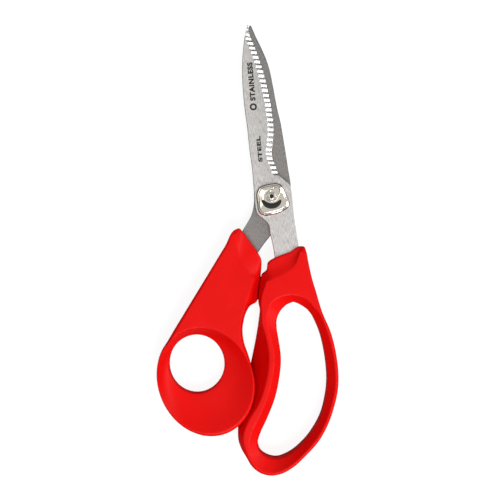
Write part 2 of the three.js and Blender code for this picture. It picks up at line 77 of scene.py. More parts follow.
# %% Grid to mesh
MM = 0.001
WELD = 0.00005                  # corners closer than this are one corner


def grid_faces(rows, columns, close_rows, close_columns):
    """Quads (i, j), (i, j+1), (i+1, j+1), (i+1, j) of a grid, wrapping round where asked."""
    i = np.arange(rows if close_rows else rows - 1)
    j = np.arange(columns if close_columns else columns - 1)
    i, j = np.meshgrid(i, j, indexing="ij")
    i2, j2 = (i + 1) % rows, (j + 1) % columns
    corners = (i * columns + j, i * columns + j2, i2 * columns + j2, i2 * columns + j)
    return np.stack(corners, axis=-1).reshape(-1, 4)


def signed_volume(points, faces):
    """A sixth of the sum of triple products of each face's corners: positive if faces look out."""
    total = 0.0
    for face in faces:
        face = np.asarray(face)
        fan = face.reshape(-1, face.shape[-1])
        for k in range(1, fan.shape[1] - 1):
            a, b, c = points[fan[:, 0]], points[fan[:, k]], points[fan[:, k + 1]]
            total += float(np.einsum("ij,ij->i", a, np.cross(b, c)).sum()) / 6
    return total


def weld(mesh):
    """Corners that fall on one another become one, and the faces between them go."""
    work = bmesh.new()
    work.from_mesh(mesh)
    bmesh.ops.remove_doubles(work, verts=work.verts, dist=WELD * MM)
    work.to_mesh(mesh)
    work.free()


def make_piece(name, points, faces, material, sharp=35.0):
    """A mesh object from points in millimetres and groups of faces with equal corner counts. Edges
    that turn by more than the sharp angle, in degrees, stay sharp in the shading."""
    points = np.asarray(points, dtype=float).reshape(-1, 3)
    if signed_volume(points, faces) < 0:
        faces = [np.asarray(group)[:, ::-1] for group in faces]
    mesh = bpy.data.meshes.new(name)
    mesh.from_pydata(points * MM, [], [f for group in faces for f in np.asarray(group).tolist()])
    mesh.materials.append(material)
    weld(mesh)
    obj = bpy.data.objects.new(name, mesh)
    bpy.context.scene.collection.objects.link(obj)
    mesh.shade_smooth()
    mesh.set_sharp_from_angle(angle=math.radians(sharp))
    print(f"{name}: {len(points)} points, {len(mesh.polygons)} faces")
    return obj


# %% [markdown]
# ## Smooth lines and rounded corners
# Two tools make nearly every shape here. The first runs a smooth curve through a few chosen
# points. The second takes a section drawn as straight lines and rounds each of its corners, as a
# mould maker breaks the edges of a tool. Rounded edges matter: they catch the light as thin bright
# lines, and a form without them looks like paper.

# %% Curves and sections
TINY = 1e-6                     # keeps a division by a length away from nought
CORNER_SHARE = 0.45             # the most of a side that one rounded corner may take


def spline(knots, count, closed=False):
    """A curve through knots: cubic pieces whose slope at a knot is the mean of the slopes of its
    two chords, each weighted by the other's length. The first two columns set the lengths."""
    knots = np.asarray(knots, dtype=float)
    if closed:
        knots = np.concatenate([knots, knots[:1]])
    step = np.maximum(np.linalg.norm(np.diff(knots[:, :2], axis=0), axis=1), TINY)
    at = np.concatenate([[0], np.cumsum(step)])
    chord = np.diff(knots, axis=0) / step[:, None]
    before = np.roll(chord, 1, axis=0)
    step_before = np.roll(step, 1)
    slope = (before * step[:, None] + chord * step_before[:, None]) / (step + step_before)[:, None]
    if closed:
        slope = np.concatenate([slope, slope[:1]])
    else:
        slope[0] = chord[0]
        slope = np.concatenate([slope, chord[-1:]])
    t = np.linspace(0, at[-1], count, endpoint=not closed)
    k = np.clip(np.searchsorted(at, t, side="right") - 1, 0, len(step) - 1)
    h = step[k][:, None]
    f = ((t - at[k]) / step[k])[:, None]
    return ((2 * f**3 - 3 * f**2 + 1) * knots[k] + (f**3 - 2 * f**2 + f) * h * slope[k]
            + (3 * f**2 - 2 * f**3) * knots[k + 1] + (f**3 - f**2) * h * slope[k + 1])


def rounded_sections(corners, radii, rows, round_rows=5):
    """Sections given as closed polygons of shape (U, K, 3), with every corner replaced by a
    parabola that starts and ends radii[k] from it, and rows[k] points on the side that follows."""
    before = np.roll(corners, 1, axis=1)
    after = np.roll(corners, -1, axis=1)
    to_before = np.linalg.norm(before - corners, axis=-1, keepdims=True)
    to_after = np.linalg.norm(after - corners, axis=-1, keepdims=True)
    radii = np.asarray(radii, dtype=float)[..., None]
    back = np.minimum(radii / np.maximum(to_before, TINY), CORNER_SHARE)
    ahead = np.minimum(radii / np.maximum(to_after, TINY), CORNER_SHARE)
    start = corners + (before - corners) * back
    end = corners + (after - corners) * ahead
    parts = []
    for k in range(corners.shape[1]):
        f = np.linspace(0, 1, round_rows)[None, :, None]
        a, b, c = start[:, k, None], corners[:, k, None], end[:, k, None]
        parts.append((1 - f) ** 2 * a + 2 * f * (1 - f) * b + f**2 * c)
        g = (np.arange(1, rows[k] + 1) / (rows[k] + 1))[None, :, None]
        following = start[:, (k + 1) % corners.shape[1], None]
        parts.append((1 - g) * c + g * following)
    return np.concatenate(parts, axis=1)


def oval(centre, long_half, short_half, tilt, direction):
    """The point of a tilted oval seen in a direction (degrees) from its centre: the radius is
    ab / sqrt((b cos)^2 + (a sin)^2) of the angle from the long axis."""
    direction = np.radians(np.asarray(direction, dtype=float))
    angle = direction - math.radians(tilt)
    across = np.hypot(short_half * np.cos(angle), long_half * np.sin(angle))
    radius = long_half * short_half / across
    x = centre[0] + radius * np.cos(direction)
    y = centre[1] + radius * np.sin(direction)
    return np.stack([x, y], axis=-1)


# %% [markdown]
# ## Colours and nodes
# Colours are written as the hex values a designer would pick and are turned to linear light once.
# A single small function adds a shader node, so that each material below reads like a recipe.

# %% Colour and node helpers
def linear(hex_colour):
    """sRGB hex to linear RGBA: c/12.92 below 0.04045, else ((c + 0.055)/1.055)^2.4."""
    value = np.array([int(hex_colour[i:i + 2], 16) for i in (1, 3, 5)]) / 255
    low, high = value / 12.92, ((value + 0.055) / 1.055) ** 2.4
    return (*np.where(value <= 0.04045, low, high), 1.0)


def new_material(name, **sockets):
    """A material with one Principled shader whose sockets are set by name."""
    material = bpy.data.materials.new(name)
    material.use_nodes = True
    shader = material.node_tree.nodes["Principled BSDF"]
    for socket, value in sockets.items():
        shader.inputs[socket.replace("_", " ")].default_value = value
    return material, shader


def add(material, kind, values=None, links=None):
    """One shader node with its socket values and its links {socket: (node, output)}."""
    tree = material.node_tree
    node = tree.nodes.new(kind)
    for name, value in (values or {}).items():
        node.inputs[name].default_value = value
    for name, (source, output) in (links or {}).items():
        tree.links.new(source.outputs[output], node.inputs[name])
    return node


def ramp(material, source, output, stops):
    """A colour ramp from stops of (position, linear colour)."""
    node = add(material, "ShaderNodeValToRGB", links={"Fac": (source, output)})
    while len(node.color_ramp.elements) < len(stops):
        node.color_ramp.elements.new(0.5)
    for element, (position, colour) in zip(node.color_ramp.elements, stops):
        element.position = position
        element.color = colour
    return node


def grey(value):
    """A grey of linear brightness, opaque, for ramps that carry a number."""
    return (value, value, value, 1.0)


def per_mm(size):
    """The texture scale that makes one feature as long as this many millimetres."""
    return 1 / (size * MM)


# %% [markdown]
# ## Camera, floor and light
# The shears lie flat and are seen from straight above through a long lens, so that both handles
# keep their true shape. Polished metal shows only what is around it, so the light is planned as a
# small studio. The room is bright overhead, which makes the flat steel an even grey. A large soft
# box stands beyond the finger loop and rounds the handles, a low one at the right lights the ground
# scallops, whose facets tilt that way, and a small warm one overhead gives the chrome its cream
# tone. A single sun would be simpler, but it would leave the steel black with one hard spark.

# %% Camera
LENS = 100.0
SENSOR = 36.0
FIELD = 240.0                   # width of the view, at half the height of the handles' top
AIM = (-10.3, -25.7)            # the point under the lens, from the bolt
HANDLE_TOP = 1000 * cad_high[2]
REST_Z = 1000 * cad_low[2]

camera_data = bpy.data.cameras.new("camera")
camera_data.lens = LENS
camera_data.sensor_width = SENSOR
camera = bpy.data.objects.new("camera", camera_data)
bpy.context.scene.collection.objects.link(camera)
distance = FIELD * LENS / SENSOR
camera.location = (AIM[0] * MM, AIM[1] * MM, (HANDLE_TOP / 2 + distance) * MM)
bpy.context.scene.camera = camera
print("camera distance, mm:", round(distance))

# %% Floor and soft boxes
FLOOR_SIZE = 8.0                # metres, as the lights' places and sizes are
FLOOR_GAP = 0.0001
FLOOR_GLOW = 0.88
LIGHT_AIM = (0.0, -0.03, 0.0)
SKY_HORIZON, SKY_OVERHEAD = 0.05, 0.58
SKY_FADE = (0.1, 0.7)           # height over the unit sphere where the fade begins and ends
WHITE = (1, 1, 1)
WARM = (1.0, 0.92, 0.82)

# name, place, width and height, watts, colour
SOFT_BOXES = (
    ("key_box", (0.2, -0.65, 0.95), (0.6, 0.5), 8, WHITE),
    ("right_box", (0.9, 0.05, 0.42), (1.2, 0.36), 5.5, WHITE),
    ("top_box", (-0.33, 0.2, 1.25), (0.4, 0.4), 0.7, WARM))


def light_table():
    """A sheet of opal acrylic just under the shears. Its own glow is seen by the camera only, so it
    makes a clean white ground and leaves the sides of the handles in shade."""
    half = FLOOR_SIZE / 2
    z = REST_Z * MM - FLOOR_GAP
    mesh = bpy.data.meshes.new("floor")
    mesh.from_pydata([(-half, -half, z), (half, -half, z), (half, half, z), (-half, half, z)],
                     [], [(0, 1, 2, 3)])
    floor = bpy.data.objects.new("floor", mesh)
    bpy.context.scene.collection.objects.link(floor)
    material, shader = new_material("opal_acrylic", Base_Color=linear("#7A7A7A"), Roughness=0.8)
    shader.inputs["Specular IOR Level"].default_value = 0.1
    shader.inputs["Emission Color"].default_value = linear("#FFFFFF")
    path = add(material, "ShaderNodeLightPath")
    glow = add(material, "ShaderNodeMapRange", values={"To Min": 0.0, "To Max": FLOOR_GLOW},
               links={"Value": (path, "Is Camera Ray")})
    material.node_tree.links.new(glow.outputs["Result"], shader.inputs["Emission Strength"])
    mesh.materials.append(material)


def soft_box(name, place, size, watts, colour):
    """A rectangular area light at place, turned to face the shears."""
    light = bpy.data.lights.new(name, "AREA")
    light.shape = "RECTANGLE"
    light.size, light.size_y = size
    light.energy = watts
    light.color = colour
    obj = bpy.data.objects.new(name, light)
    obj.location = place
    facing = (Vector(LIGHT_AIM) - Vector(place)).to_track_quat("-Z", "Y")
    obj.rotation_euler = facing.to_euler()
    bpy.context.scene.collection.objects.link(obj)


def studio_room(low, high):
    """A world that is dim at the horizon and brighter overhead, as between dark studio walls."""
    world = bpy.data.worlds.new("studio")
    world.use_nodes = True
    tree = world.node_tree
    where = tree.nodes.new("ShaderNodeTexCoord")
    split = tree.nodes.new("ShaderNodeSeparateXYZ")
    fade = tree.nodes.new("ShaderNodeMapRange")
    fade.interpolation_type = "SMOOTHSTEP"
    fade.inputs["From Min"].default_value = SKY_FADE[0]
    fade.inputs["From Max"].default_value = SKY_FADE[1]
    fade.inputs["To Min"].default_value = low
    fade.inputs["To Max"].default_value = high
    tree.links.new(where.outputs["Generated"], split.inputs["Vector"])
    tree.links.new(split.outputs["Z"], fade.inputs["Value"])
    tree.links.new(fade.outputs["Result"], tree.nodes["Background"].inputs["Strength"])
    tree.nodes["Background"].inputs["Color"].default_value = (1, 1, 1, 1)
    bpy.context.scene.world = world


light_table()
for box in SOFT_BOXES:
    soft_box(*box)
studio_room(SKY_HORIZON, SKY_OVERHEAD)
bpy.context.scene.view_settings.view_transform = "Standard"
print("soft boxes and watts:", {box[0]: box[3] for box in SOFT_BOXES})

# %% [markdown]
# ## The blade steel
# Both blades are martensitic stainless steel. The front one is ground along its length and left
# satin, so it is light with a fine grain of short streaks. The rear one has a slanted grain and is
# darker: its darker colour is partly its own grind and partly painted shade.
# Much of a metal's look is its reflection, so each material varies its roughness and its fine bump
# as well as its colour. A picture of steel could be wrapped on instead, but noise that is squeezed
# across and stretched along the blade never repeats and has no seam.

# %% Steel materials
GRIND_STREAK = (0.16, 2.4)      # width and length of a grinding streak, drawn coarser than real
GRIND_TURN = 4.0
TUMBLE_GRAIN = (0.35, 1.05)
TUMBLE_TURN = -38.0
PLATE_GRAIN = (0.3, 0.3)
STEEL_RELIEF = 0.02


def streaks(material, width, length, turn):
    """Noise squeezed across and stretched along a direction turned from the blade's length."""
    where = add(material, "ShaderNodeTexCoord")
    squeeze = add(material, "ShaderNodeMapping", values={
        "Rotation": (0, 0, math.radians(turn)),
        "Scale": (per_mm(width), per_mm(length), per_mm(length))},
        links={"Vector": (where, "Object")})
    return add(material, "ShaderNodeTexNoise", values={
        "Scale": 1.0, "Detail": 3.0, "Roughness": 0.6}, links={"Vector": (squeeze, "Vector")})


def ground_steel(name, dark, light, roughness, streak, turn, bump):
    """Steel with a grain: streaks vary its colour and roughness and lift a fine bump."""
    material, shader = new_material(name, Metallic=1.0)
    grain = streaks(material, *streak, turn)
    colour = ramp(material, grain, "Fac", [(0.3, linear(dark)), (0.7, linear(light))])
    low, high = roughness
    rough = ramp(material, grain, "Fac", [(0.25, grey(low)), (0.75, grey(high))])
    relief = add(material, "ShaderNodeBump", values={
        "Strength": bump, "Distance": STEEL_RELIEF * MM}, links={"Height": (grain, "Fac")})
    tree = material.node_tree
    tree.links.new(colour.outputs["Color"], shader.inputs["Base Color"])
    tree.links.new(rough.outputs["Color"], shader.inputs["Roughness"])
    tree.links.new(relief.outputs["Normal"], shader.inputs["Normal"])
    return material


front_steel = ground_steel("satin_ground_stainless", "#A8A5A3", "#F0EEED", (0.27, 0.45),
                           GRIND_STREAK, GRIND_TURN, 1.0)
# painted shade: the rear steel's darker colours stand partly for its own grind and partly for shade
# on that blade
rear_steel = ground_steel("slant_ground_and_shaded_stainless", "#706D6C", "#A19E9C", (0.45, 0.65),
                          TUMBLE_GRAIN, TUMBLE_TURN, 0.4)
plated_steel = ground_steel("zinc_plated_steel", "#B9B9B4", "#D0D0CC", (0.22, 0.34),
                            PLATE_GRAIN, 0.0, 0.3)
print("steels:", front_steel.name, rear_steel.name, plated_steel.name)

# %% [markdown]
# ## Plastic, chrome and the small finishes
# The handles are injection-moulded polypropylene, coloured right through. The mould is
# spark-eroded, so the skin has a very fine grain that softens the highlights. That grain could be
# modelled, but it is finer than a hair, so a bump in the material is enough. The cap is polished
# and chromed, which needs almost no texture of its own, only faint polishing swirls.

# %% Handle, chrome, enamel and nylon materials
MOULD_GRAIN = 0.45
MOULD_CLOUD = 18
MOULD_RELIEF = 0.03
HANDLE_RED = ("#D90704", "#DE0805")
HANDLE_GLOSS = 0.12
SWIRL = 1.5


def moulded_plastic(name, colours, roughness, grain_mm, bump, gloss=0.5):
    """Moulded plastic: cloudy colour over centimetres and a fine spark-eroded grain."""
    material, shader = new_material(name, Metallic=0.0, IOR=1.49, Specular_IOR_Level=gloss)
    where = add(material, "ShaderNodeTexCoord")
    cloud = add(material, "ShaderNodeTexNoise", values={
        "Scale": per_mm(MOULD_CLOUD), "Detail": 2.0}, links={"Vector": (where, "Object")})
    grain = add(material, "ShaderNodeTexNoise", values={
        "Scale": per_mm(grain_mm), "Detail": 3.0, "Roughness": 0.65},
        links={"Vector": (where, "Object")})
    dark, light = colours
    colour = ramp(material, cloud, "Fac", [(0.35, linear(dark)), (0.65, linear(light))])
    low, high = roughness
    rough = ramp(material, grain, "Fac", [(0.3, grey(low)), (0.7, grey(high))])
    relief = add(material, "ShaderNodeBump", values={
        "Strength": bump, "Distance": MOULD_RELIEF * MM}, links={"Height": (grain, "Fac")})
    tree = material.node_tree
    tree.links.new(colour.outputs["Color"], shader.inputs["Base Color"])
    tree.links.new(rough.outputs["Color"], shader.inputs["Roughness"])
    tree.links.new(relief.outputs["Normal"], shader.inputs["Normal"])
    return material


def polished_chrome(name):
    """Chrome plate on a polished casting: near-mirror, with faint swirls in its roughness."""
    # painted reflection: the near white of this base colour is the chrome's own, and its cream tint
    # stands in for warm light reflected in it
    material, shader = new_material(name, Metallic=1.0, Base_Color=linear("#F7EFE2"))
    where = add(material, "ShaderNodeTexCoord")
    swirl = add(material, "ShaderNodeTexNoise", values={
        "Scale": per_mm(SWIRL), "Distortion": 1.5}, links={"Vector": (where, "Object")})
    rough = ramp(material, swirl, "Fac", [(0.3, grey(0.05)), (0.7, grey(0.12))])
    material.node_tree.links.new(rough.outputs["Color"], shader.inputs["Roughness"])
    return material


red_plastic = moulded_plastic("red_moulded_polypropylene", HANDLE_RED, (0.34, 0.46),
                              MOULD_GRAIN, 0.35, gloss=HANDLE_GLOSS)
# the black material is real enamel on the crescent and the print, and painted shade far down in the
# bolt's socket
black_enamel_and_shade = moulded_plastic("black_enamel_and_painted_shade", ("#0B0B0B", "#121212"), (0.25, 0.35), 0.8, 0.2)
white_nylon = moulded_plastic("natural_nylon", ("#E2DDD0", "#EAE6DB"), (0.45, 0.6), 0.6, 0.2)
chrome = polished_chrome("polished_chrome")
print("finishes:", red_plastic.name, black_enamel_and_shade.name, white_nylon.name, chrome.name)

# %% [markdown]
# ## The blades
# Each blade is blanked from 2.6 mm strip and ground, and its tail, the tang, runs on into the
# handle. It is made as a loft: at each height y its section runs from the spine to the edge, and
# the two sides are smooth lines through a few measured points. An outline pushed up to a solid
# would be quicker, but it can't carry a ground face that falls and thins along its way.

# %% Blade outlines
def box_mm(node):
    """A CAD node's lowest and highest corners in millimetres."""
    low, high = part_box(node)
    return 1000 * np.array(low), 1000 * np.array(high)


front_low, front_high = box_mm("front_blade")
rear_low, _ = box_mm("rear_blade")
REACH = float(front_high[1])
THICK = float(front_high[2] - front_low[2])
TANG_HALF = 6.15
FRONT_TANG = (8.5, 3.1)         # degrees from straight down, and the offset to its right
REAR_TANG = (-30.5, 2.5)
SIDE_POINTS = 1500


def tang_point(tang, along, side):
    """A point on a tang: a distance along its slanted centre line and a distance to its right."""
    angle, offset = math.radians(tang[0]), tang[1] + side
    return (along * math.sin(angle) + offset * math.cos(angle),
            -along * math.cos(angle) + offset * math.sin(angle))


def reach_points(stations):
    """Stations (share of the reach, x) as points (x, y)."""
    return [(x, share * REACH) for share, x in stations]


front_right = [
    tang_point(FRONT_TANG, 43, TANG_HALF), tang_point(FRONT_TANG, 20, TANG_HALF),
    (10.6, -8), (10.1, -2.2), (9.5, 2.6), (8.9, 5.2), (6.4, 7.6),
] + reach_points([
    (0.12, 3.9), (0.174, 2.3), (0.212, 0.9), (0.259, 0.35), (0.311, 0.8), (0.376, 1.2),
    (0.428, 1.05), (0.495, 0.35), (0.58, -0.85), (0.661, -2.4), (0.731, -3.9), (0.801, -5.8),
    (0.871, -7.9), (0.931, -9.9), (0.99, -11.2), (1.0, -11.3)])
front_left = [
    tang_point(FRONT_TANG, 43, -TANG_HALF), tang_point(FRONT_TANG, 20, -TANG_HALF), (-0.7, -17.7),
    (-1.2, -14.1), (-2.2, -12.3), (-4, -10.7), (-6.6, -8.7), (-7.7, -5.6), (-8.1, -0.8),
] + reach_points([
    (0.031, -8.4), (0.16, -9.3), (0.259, -10.4), (0.416, -11.8), (0.504, -12.8), (0.62, -13.7),
    (0.714, -14.1), (0.79, -14), (0.879, -13.4), (0.95, -12.6), (1, -11.7)])
rear_right = [
    tang_point(REAR_TANG, 52, TANG_HALF), tang_point(REAR_TANG, 20, TANG_HALF),
    (2.4, -15.4), (5.8, -10.2), (8.2, -4.4), (9.2, 1),
] + reach_points([
    (0.061, 9.3), (0.16, 8.1), (0.329, 5.9), (0.428, 4.5), (0.504, 3), (0.65, 0.7), (0.723, -0.5),
    (0.797, -2.3), (0.868, -4.8), (0.938, -7.6), (1, -9.8)])
rear_left = [
    tang_point(REAR_TANG, 52, -TANG_HALF), tang_point(REAR_TANG, 18, -TANG_HALF), (-11.7, -12.7),
    (-9.8, -9.2), (-8.6, -4.6), (-8.3, -1.5), (-8.4, 2), (-7.6, 6.6),
] + reach_points([
    (0.13, -5.3), (0.25, -6), (0.45, -7.9), (0.65, -10.4), (0.8, -11.8), (0.93, -11.9),
    (0.985, -11), (1, -10.6)])


def side_at(knots, y):
    """The x of a blade's side at heights y, read off the smooth line through its knots."""
    line = spline(knots, SIDE_POINTS)
    order = np.argsort(line[:, 1])
    return np.interp(y, line[order, 1], line[order, 0])


print("reach and thickness of the blades, mm:", round(REACH, 2), round(THICK, 2))

# %% [markdown]
# ## The front blade and its teeth
# The teeth are not cut with a file. A narrow round wheel is pressed into the edge at a slant, once
# per tooth, so each tooth gap is a piece of a cylinder. Its floor falls towards the edge, its rim
# on the face is a curve, and two neighbours meet in a sharp ridge. Thirty cylinders could be cut
# away with a Boolean modifier, but taking the lower of the flat face and the wheel's surface gives
# all of that with one formula, and no edge is left ragged.

# %% Front blade
TOOTH_PITCH = 2.35
TOOTH_CUT = 0.28
WHEEL_SLOPE = 0.55
WHEEL_REACH = 2.85
WHEEL_ROUND = 0.22
SERRATION_START = 10.2
GRIND_START = 2.0               # the ground face fades in over GRIND_RAMP from here
GRIND_RAMP = 14.0
FACE_FALL = 0.03                # how steeply the ground face falls, over the width of the blade
FACE_CURVE = 1.25
DIVISION = 0.36                 # share of the width, from the spine, that is left flat
SPINE_BREAK = 0.25
POINT_LENGTH = 6.0              # the last millimetres, over which the point grows thin
POINT_THIN = 0.35
CUT_FADE = 2.0
FRONT_TAIL = -42.0
ROWS_PER_TOOTH = 14
TANG_STEP = 0.8
TOOTHED_BAND = (3.7, 26)        # width and columns
FACE_COLUMNS = 16
BAND_SHARE = 0.55
BLADE_SHARP = 22.0


def blade_rows(low_y, tooth_rows):
    """Heights: TANG_STEP apart on the tang and tooth_rows to each tooth along the edge."""
    tang = np.arange(low_y, SERRATION_START, TANG_STEP)
    edge = np.arange(SERRATION_START, REACH - 0.02, TOOTH_PITCH / tooth_rows)
    return np.concatenate([tang, edge, [REACH]])


def blade_columns(width, band, band_columns, face_columns):
    """Distances from the edge, close together over the ground band and wider over the face."""
    band = np.minimum(band, BAND_SHARE * width)[:, None]
    near = band * np.linspace(0, 1, band_columns)[None, :]
    share = np.linspace(0, 1, face_columns + 1)[None, 1:]
    far = band + (width[:, None] - SPINE_BREAK - band) * share
    return np.concatenate([near, far], axis=1)


def smoothstep(t):
    """t^2 (3 - 2t) between 0 and 1, level at both ends."""
    t = np.clip(t, 0, 1)
    return t * t * (3 - 2 * t)


def ground_face(y, width, e):
    """The front face above the flat back at a distance e from the edge: T - fall * width * a^1.25,
    where a runs from 0 at the division to 1 at the edge."""
    ground = smoothstep((y - GRIND_START) / GRIND_RAMP)
    reach = width * (1 - DIVISION)
    across = np.clip((reach - e) / reach, 0, 1)
    return THICK - ground * FACE_FALL * width * across**FACE_CURVE


def break_corner(x, inwards, y, places):
    """Columns (rows, 1, 3) down the spine at x moved inwards by dx, at height z, per (dx, z)."""
    return [np.stack([x + inwards * dx, y, np.full(len(y), z)], axis=-1)[:, None]
            for dx, z in places]


def loft_piece(name, sections, material, sharp=35.0):
    """Closed sections of shape (rows, columns, 3) joined in a tube and closed at both ends."""
    rows, columns, _ = sections.shape
    first = np.arange(columns)[None, ::-1]
    last = np.arange(columns)[None, :] + (rows - 1) * columns
    faces = [grid_faces(rows, columns, False, True), first, last]
    return make_piece(name, sections, faces, material, sharp=sharp)


def front_blade():
    """Teeth z = min(face, wheel), where the wheel is z = face - slope (W - e) + round d^2 for a
    distance e from the edge and d from the tooth's middle. Between two ridges the edge itself
    is cut back by 4 cut p (1 - p), p being the share of the way."""
    y = blade_rows(FRONT_TAIL, ROWS_PER_TOOTH)
    left, right = side_at(front_left, y), side_at(front_right, y)
    along = np.concatenate([[0], np.cumsum(np.hypot(np.diff(right), np.diff(y)))])
    start = np.interp(SERRATION_START, y, along)
    phase = np.mod(along - start, TOOTH_PITCH) / TOOTH_PITCH
    toothed = (y >= SERRATION_START).astype(float)
    fade = np.clip((REACH - y) / CUT_FADE, 0, 1)
    right = right - toothed * TOOTH_CUT * 4 * phase * (1 - phase) * fade
    width = right - left
    e = blade_columns(width, *TOOTHED_BAND, FACE_COLUMNS)
    x = right[:, None] - e
    face = ground_face(y[:, None], width[:, None], e)
    middle = (phase - 0.5)[:, None] * TOOTH_PITCH
    wheel = face - WHEEL_SLOPE * (WHEEL_REACH - e) + WHEEL_ROUND * middle**2
    thin = np.clip((REACH - y) / POINT_LENGTH, POINT_THIN, 1)[:, None]
    top = np.where(toothed[:, None] > 0, np.minimum(face, wheel), face)
    top = THICK - (THICK - top) * thin
    upper = np.stack([x, np.broadcast_to(y[:, None], x.shape), top], axis=-1)
    edge_foot = np.stack([right, y, np.zeros(len(y))], axis=-1)[:, None]
    spine = break_corner(left, 1, y, (
        (0.0, THICK - SPINE_BREAK), (0.0, SPINE_BREAK), (SPINE_BREAK, 0.0)))
    sections = np.concatenate([edge_foot, upper, *spine], axis=1)
    sections[..., 2] += front_low[2]
    return loft_piece("front_blade_ground", sections, front_steel, sharp=BLADE_SHARP)


front = front_blade()
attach(front, "finger_half")
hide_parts("front_blade")

# %% [markdown]
# ## The rear blade
# The rear blade has a plain edge that is ground from below only, so that its flat top slides on
# the front blade's flat back. It is the same loft turned over, with the columns measured from the
# left side. A mirrored copy of the front blade would be quicker, but every line of its outline is
# different.

# %% Rear blade
REAR_BEVEL = 3.4
REAR_LAND = 0.35
REAR_SPINE_BREAK = 0.45
REAR_GRIND = (6.0, 5.0)         # the bevel starts here and is full after this length
REAR_TAIL = -43.5
REAR_ROWS_PER_TOOTH = 2
REAR_COLUMNS = (8, 10)


def rear_blade():
    """A flat blade whose edge, at its left, is ground from below: z = (T - land)(1 - e/W)."""
    y = blade_rows(REAR_TAIL, REAR_ROWS_PER_TOOTH)
    left, right = side_at(rear_left, y), side_at(rear_right, y)
    e = blade_columns(right - left, REAR_BEVEL, *REAR_COLUMNS)
    x = left[:, None] + e
    start, ramp_length = REAR_GRIND
    ground = np.clip((y - start) / ramp_length, 0, 1)[:, None]
    under = ground * (THICK - REAR_LAND) * np.clip(1 - e / REAR_BEVEL, 0, 1)
    lower = np.stack([x, np.broadcast_to(y[:, None], x.shape), under], axis=-1)
    edge_top = np.stack([left, y, np.full(len(y), THICK)], axis=-1)[:, None]
    spine = break_corner(right, -1, y, (
        (0.0, REAR_SPINE_BREAK), (0.0, THICK - REAR_SPINE_BREAK), (REAR_SPINE_BREAK, THICK)))
    sections = np.concatenate([edge_top, lower, *spine], axis=1)
    sections[..., 2] += rear_low[2]
    return loft_piece("rear_blade_ground", sections, rear_steel, sharp=BLADE_SHARP)


rear = rear_blade()
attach(rear, "thumb_half")
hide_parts("rear_blade")


# %% [markdown]
# ## The handles
# Each handle is one ring of plastic round a hole. So it is lofted round that hole: every section
# is a closed polygon that climbs the wall of the hole, crosses the dish to the crest, runs over
# the top to the rim, drops to the outline and comes back underneath. A section keeps the same ten
# corners all the way round, and only their places change, from a slim bar beside the fingers to
# the broad neck that holds the blade. Each corner is rounded by its own radius. Sculpting a
# subdivided doughnut would give soft forms too, but not the crisp line that runs round the dish.

# %% Ring loft
BASE_Z = REST_Z
CREST_Z = HANDLE_TOP - 0.05
EDGE_RISE = 1.4                 # how far above the underside the outer wall begins
HANDLE_SHARP = 40.0
LOFT_ROWS = 440

# per corner: its radius, and the rows on the side that follows it
CORNER_RADII = (1.2, 0.9, 5.0, 0.55, 0.7, 3.0, 1.1, 1.5, 0.8, 0.9)
CORNER_ROWS = (4, 3, 3, 8, 2, 2, 4, 3, 3, 8)


def with_z(plan, z):
    """Plan points (U, 2) lifted to a height or to heights (U,)."""
    z = np.broadcast_to(np.asarray(z, dtype=float), plan.shape[:1])
    return np.concatenate([plan, z[:, None]], axis=1)


def towards(a, b, share):
    """The point at a share of the way from a to b."""
    share = np.broadcast_to(np.asarray(share, dtype=float), a.shape[:1])[:, None]
    return a + (b - a) * share


def ring_handle(name, plan, z, material):
    """Ten corners per section, from the plan lines hole, crest, rim, foot, outline and riser and
    the heights of the hole's top, dish, rim, foot, outline's top and bottom, and riser."""
    dish = towards(plan["hole"], plan["crest"], 0.5)
    dish_z = z["hole"] + (CREST_Z - z["hole"]) * z["dish_share"]
    corners = np.stack([
        with_z(plan["hole"], BASE_Z), with_z(plan["hole"], z["hole"]), with_z(dish, dish_z),
        with_z(plan["crest"], CREST_Z), with_z(plan["rim"], z["rim"]),
        with_z(plan["foot"], z["foot"]), with_z(plan["outline"], z["outline"]),
        with_z(plan["outline"], z["under"]), with_z(plan["riser"], z["riser"]),
        with_z(plan["riser"], BASE_Z)], axis=1)
    sections = rounded_sections(corners, CORNER_RADII, CORNER_ROWS)
    rows, columns, _ = sections.shape
    faces = [grid_faces(rows, columns, True, True)]
    return make_piece(name, sections, faces, material, sharp=HANDLE_SHARP)


# %% [markdown]
# ## The thumb handle
# The thumb rests in a dished disc round a hole, and a long neck holds the rear blade's tang. Round
# the disc the outline and the crest are plain tilted ovals, so they come from a formula, and only
# the neck needs measured points. At its right the disc nests over the leaning wall of the finger
# loop: its underside starts where that wall, moved out by a small gap, passes below it. Cutting
# one handle out of the other would also fit them, but the gap between them would then be nought.

# %% Thumb handle
THUMB_HOLE = ((-35.9, -80.4), 13.3, 14.0, 0.0)
THUMB_CREST = ((-31.6, -87.8), 25.5, 22.3, -66.0)
THUMB_SIDE = ((-31.4, -88.1), 27.0, 22.8, -68.0)
DISC_DIRECTIONS = np.arange(145.0, 380.0, 18.0)
THUMB_RIM_SHARE = 0.45
THUMB_RIM_Z = (11.7, 10.9)      # the rim, and the top of the outline
DISH_FOOT_Z = 5.4
DISH_SHARE = 0.36
NEST_GAP = 1.0
WALL_LEAN = 0.62                # how far the finger handle's wall leans out per mm of depth
SHARE_STEPS = 201
WALL_MARGIN = 1.5
UNDER_MARGIN = 1.2
RAISE_MOST = 10
OUTSIDE = 1e3
HOLLOW_FROM, HOLLOW_RAMP, HOLLOW_DEPTH = 2, 2, 0.35

